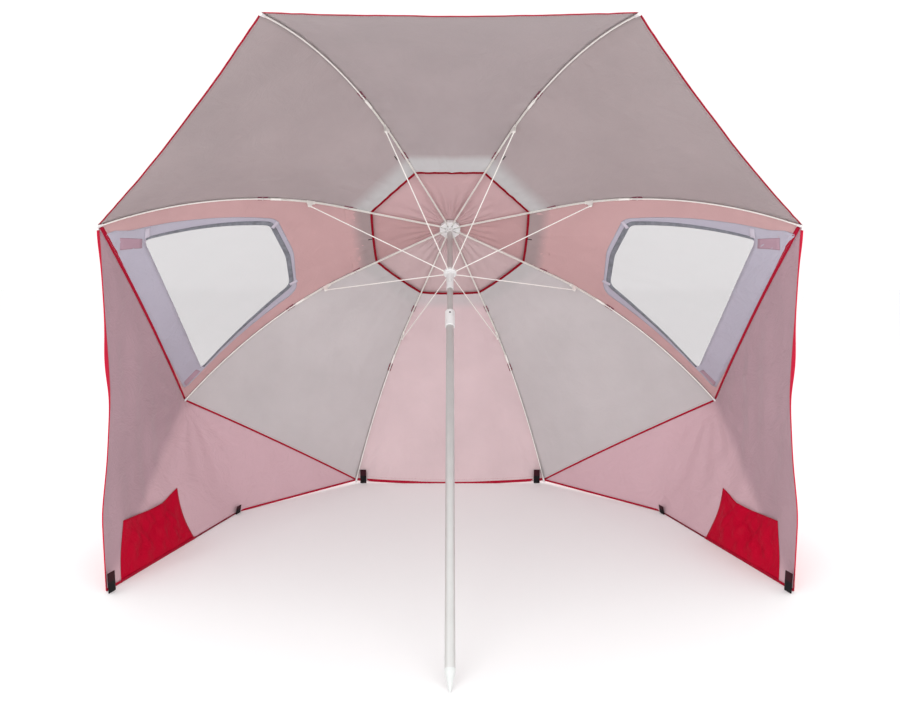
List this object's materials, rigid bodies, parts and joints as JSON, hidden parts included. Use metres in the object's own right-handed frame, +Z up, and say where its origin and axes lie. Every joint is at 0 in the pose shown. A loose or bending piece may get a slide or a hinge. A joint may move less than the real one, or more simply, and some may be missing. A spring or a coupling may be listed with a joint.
{
  "type": "shelter umbrella",
  "caption": "Large eight-rib leaning sport and beach umbrella with a telescoping pole, hanging side walls with clear windows, corner pockets, stake loops and a ground spike.",
  "frame": {"origin": "on the ground, under the middle of the footprint", "axes": "+Z up; +Y away from the open front, towards the low back rim; +X to the right seen from the open front; the pole leans back in the YZ plane"},
  "size_m": [2.2352, 1.6998, 1.6679],
  "materials": {
    "pole": "satin drawn tube",
    "white_plastic": "moulded",
    "dark_plastic": "moulded",
    "wire": "drawn wire",
    "rib": "off-white enamel",
    "grey_fabric": "silver-coated polyester inside, red outside",
    "pink_fabric": "thin polyester, red outside",
    "red_fabric": "plain weave polyester",
    "trim_fabric": "translucent coated mesh tape",
    "window_film": "clear PVC film",
    "webbing": "woven webbing"
  },
  "bodies": {
    "lower_pole": {"lower_tube": "pole", "ground_spike": "white_plastic", "lock_collar": "white_plastic"},
    "lock_button": {"lock_button": "dark_plastic"},
    "upper_pole": {"upper_tube": "pole", "hub_crown": "white_plastic", "hub_wire": "wire", "hub_cap": "white_plastic", "vent_cap": "pink_fabric"},
    "runner": {"runner_body": "white_plastic", "runner_wire": "wire", "catch_rivet": "wire"},
    "runner_catch": {"runner_catch": "white_plastic"},
    "rib_1": {"rib_1": "rib", "rib_tip_1": "white_plastic", "canopy_panel_low_right": "grey_fabric"},
    "rib_2": {"rib_2": "rib", "rib_tip_2": "white_plastic", "canopy_panel_back": "pink_fabric", "back_loop_right": "webbing"},
    "rib_3": {"rib_3": "rib", "rib_tip_3": "white_plastic", "canopy_panel_low_left": "grey_fabric", "back_loop_left": "webbing"},
    "rib_4": {"rib_4": "rib", "rib_tip_4": "white_plastic", "canopy_panel_left": "pink_fabric", "window_left": "window_film", "window_trim_left": "trim_fabric"},
    "rib_5": {"rib_5": "rib", "rib_tip_5": "white_plastic", "canopy_panel_high_left": "grey_fabric"},
    "rib_6": {"rib_6": "rib", "rib_tip_6": "white_plastic", "canopy_panel_top": "grey_fabric"},
    "rib_7": {"rib_7": "rib", "rib_tip_7": "white_plastic", "canopy_panel_high_right": "grey_fabric"},
    "rib_8": {"rib_8": "rib", "rib_tip_8": "white_plastic", "canopy_panel_right": "pink_fabric", "window_right": "window_film", "window_trim_right": "trim_fabric"},
    "stretcher_1": {"stretcher_1": "rib"},
    "stretcher_2": {"stretcher_2": "rib"},
    "stretcher_3": {"stretcher_3": "rib"},
    "stretcher_4": {"stretcher_4": "rib"},
    "stretcher_5": {"stretcher_5": "rib"},
    "stretcher_6": {"stretcher_6": "rib"},
    "stretcher_7": {"stretcher_7": "rib"},
    "stretcher_8": {"stretcher_8": "rib"},
    "side_wall_front_left": {"side_wall_front_left": "pink_fabric"},
    "side_wall_rear_left": {"side_wall_rear_left": "pink_fabric", "sand_pocket_left": "red_fabric", "stake_loops_left": "webbing"},
    "side_wall_front_right": {"side_wall_front_right": "pink_fabric"},
    "side_wall_rear_right": {"side_wall_rear_right": "pink_fabric", "sand_pocket_right": "red_fabric", "stake_loops_right": "webbing"}
  },
  "joints": [
    {"name": "canopy_fold", "type": "hinge", "parent": "upper_pole", "child": "rib_1", "pos_m": [0.0194, 0.48818, 1.19723], "axis": [-0.3827, 0.619, -0.6858], "range_deg": [0, 62], "deforming": ["vent_cap", "canopy_panel_low_right", "canopy_panel_back", "canopy_panel_low_left", "canopy_panel_left", "window_left", "window_trim_left", "canopy_panel_high_left", "canopy_panel_top", "canopy_panel_high_right", "canopy_panel_right", "window_right", "window_trim_right", "side_wall_front_left", "side_wall_rear_left", "sand_pocket_left", "stake_loops_left", "back_loop_left", "side_wall_front_right", "side_wall_rear_right", "sand_pocket_right", "stake_loops_right", "back_loop_right"]},
    {"name": "rib_2_fold", "type": "hinge", "parent": "upper_pole", "child": "rib_2", "pos_m": [0.00804, 0.4958, 1.1888], "axis": [-0.9239, 0.2564, -0.2841], "range_deg": [-0.5, 62.5]},
    {"name": "rib_3_fold", "type": "hinge", "parent": "upper_pole", "child": "rib_3", "pos_m": [-0.00804, 0.4958, 1.1888], "axis": [-0.9239, -0.2564, 0.2841], "range_deg": [-0.5, 62.5]},
    {"name": "rib_4_fold", "type": "hinge", "parent": "upper_pole", "child": "rib_4", "pos_m": [-0.0194, 0.48818, 1.19723], "axis": [-0.3827, -0.619, 0.6858], "range_deg": [-0.5, 62.5]},
    {"name": "rib_5_fold", "type": "hinge", "parent": "upper_pole", "child": "rib_5", "pos_m": [-0.0194, 0.47741, 1.20917], "axis": [0.3827, -0.619, 0.6858], "range_deg": [-0.5, 62.5]},
    {"name": "rib_6_fold", "type": "hinge", "parent": "upper_pole", "child": "rib_6", "pos_m": [-0.00804, 0.4698, 1.2176], "axis": [0.9239, -0.2564, 0.2841], "range_deg": [-0.5, 62.5]},
    {"name": "rib_7_fold", "type": "hinge", "parent": "upper_pole", "child": "rib_7", "pos_m": [0.00804, 0.4698, 1.2176], "axis": [0.9239, 0.2564, -0.2841], "range_deg": [-0.5, 62.5]},
    {"name": "rib_8_fold", "type": "hinge", "parent": "upper_pole", "child": "rib_8", "pos_m": [0.0194, 0.47741, 1.20917], "axis": [0.3827, 0.619, -0.6858], "range_deg": [-0.5, 62.5]},
    {"name": "stretcher_1_pivot", "type": "hinge", "parent": "rib_1", "child": "stretcher_1", "pos_m": [0.53585, 0.53131, 0.94798], "axis": [-0.3827, 0.619, -0.6858], "range_deg": [-125, 1]},
    {"name": "stretcher_2_pivot", "type": "hinge", "parent": "rib_2", "child": "stretcher_2", "pos_m": [0.22196, 0.74163, 0.71497], "axis": [-0.9239, 0.2564, -0.2841], "range_deg": [-125, 1]},
    {"name": "stretcher_3_pivot", "type": "hinge", "parent": "rib_3", "child": "stretcher_3", "pos_m": [-0.22196, 0.74163, 0.71497], "axis": [-0.9239, -0.2564, 0.2841], "range_deg": [-125, 1]},
    {"name": "stretcher_4_pivot", "type": "hinge", "parent": "rib_4", "child": "stretcher_4", "pos_m": [-0.53585, 0.53131, 0.94798], "axis": [-0.3827, -0.619, 0.6858], "range_deg": [-125, 1]},
    {"name": "stretcher_5_pivot", "type": "hinge", "parent": "rib_5", "child": "stretcher_5", "pos_m": [-0.53585, 0.23387, 1.27751], "axis": [0.3827, -0.619, 0.6858], "range_deg": [-125, 1]},
    {"name": "stretcher_6_pivot", "type": "hinge", "parent": "rib_6", "child": "stretcher_6", "pos_m": [-0.22196, 0.02355, 1.51052], "axis": [0.9239, -0.2564, 0.2841], "range_deg": [-125, 1]},
    {"name": "stretcher_7_pivot", "type": "hinge", "parent": "rib_7", "child": "stretcher_7", "pos_m": [0.22196, 0.02355, 1.51052], "axis": [0.9239, 0.2564, -0.2841], "range_deg": [-125, 1]},
    {"name": "stretcher_8_pivot", "type": "hinge", "parent": "rib_8", "child": "stretcher_8", "pos_m": [0.53585, 0.23387, 1.27751], "axis": [0.3827, 0.619, -0.6858], "range_deg": [-125, 1]},
    {"name": "runner_travel", "type": "hinge", "parent": "stretcher_1", "child": "runner", "pos_m": [0.0194, 0.28776, 1.01632], "axis": [-0.3827, 0.619, -0.6858], "range_deg": [-0.5, 62.5]},
    {"name": "pole_draw", "type": "slide", "parent": "lower_pole", "child": "upper_pole", "axis": [0, 0.7423, 0.67], "range_m": [-0.005, 0.8707]},
    {"name": "lock_button_press", "type": "slide", "parent": "lower_pole", "child": "lock_button", "axis": [0, 0.67, -0.7423], "range_m": [0, 0.002], "stiffness_N_per_m": 600, "springref_m": -0.001},
    {"name": "runner_catch_press", "type": "hinge", "parent": "runner", "child": "runner_catch", "pos_m": [0, 0.23198, 1.00051], "axis": [1, 0, 0], "range_deg": [0, 5], "stiffness_Nm_per_rad": 0.6, "springref_deg": -5.73},
    {"name": "side_wall_front_left_fold", "type": "hinge", "parent": "rib_5", "child": "side_wall_front_left", "pos_m": [-1.10865, -0.23956, 1.16981], "axis": [-0.577, 0.801, 0.1597], "range_deg": [-0.5, 92.94]},
    {"name": "side_wall_rear_left_fold", "type": "hinge", "parent": "rib_4", "child": "side_wall_rear_left", "pos_m": [-1.10865, 0.37583, 0.48802], "axis": [0.1155, 0.9234, -0.3661], "range_deg": [-0.5, 66.33]},
    {"name": "side_wall_front_right_fold", "type": "hinge", "parent": "rib_8", "child": "side_wall_front_right", "pos_m": [1.10865, -0.23956, 1.16981], "axis": [-0.577, -0.801, -0.1597], "range_deg": [-0.5, 92.94]},
    {"name": "side_wall_rear_right_fold", "type": "hinge", "parent": "rib_1", "child": "side_wall_rear_right", "pos_m": [1.10865, 0.37583, 0.48802], "axis": [0.1155, -0.9234, 0.3661], "range_deg": [-0.5, 66.33]}
  ],
  "couplings": [
    {"joint": "rib_2_fold", "follows": "canopy_fold", "ratio": 1},
    {"joint": "rib_3_fold", "follows": "canopy_fold", "ratio": 1},
    {"joint": "rib_4_fold", "follows": "canopy_fold", "ratio": 1},
    {"joint": "rib_5_fold", "follows": "canopy_fold", "ratio": 1},
    {"joint": "rib_6_fold", "follows": "canopy_fold", "ratio": 1},
    {"joint": "rib_7_fold", "follows": "canopy_fold", "ratio": 1},
    {"joint": "rib_8_fold", "follows": "canopy_fold", "ratio": 1},
    {"joint": "stretcher_1_pivot", "follows": "canopy_fold", "ratio": -2},
    {"joint": "stretcher_2_pivot", "follows": "canopy_fold", "ratio": -2},
    {"joint": "stretcher_3_pivot", "follows": "canopy_fold", "ratio": -2},
    {"joint": "stretcher_4_pivot", "follows": "canopy_fold", "ratio": -2},
    {"joint": "stretcher_5_pivot", "follows": "canopy_fold", "ratio": -2},
    {"joint": "stretcher_6_pivot", "follows": "canopy_fold", "ratio": -2},
    {"joint": "stretcher_7_pivot", "follows": "canopy_fold", "ratio": -2},
    {"joint": "stretcher_8_pivot", "follows": "canopy_fold", "ratio": -2},
    {"joint": "runner_travel", "follows": "canopy_fold", "ratio": 1},
    {"joint": "pole_draw", "follows": "canopy_fold", "m_per_rad": 0.8},
    {"joint": "side_wall_front_left_fold", "follows": "canopy_fold", "ratio": 1.4909},
    {"joint": "side_wall_rear_left_fold", "follows": "canopy_fold", "ratio": 1.0618},
    {"joint": "side_wall_front_right_fold", "follows": "canopy_fold", "ratio": 1.4909},
    {"joint": "side_wall_rear_right_fold", "follows": "canopy_fold", "ratio": 1.0618}
  ]
}
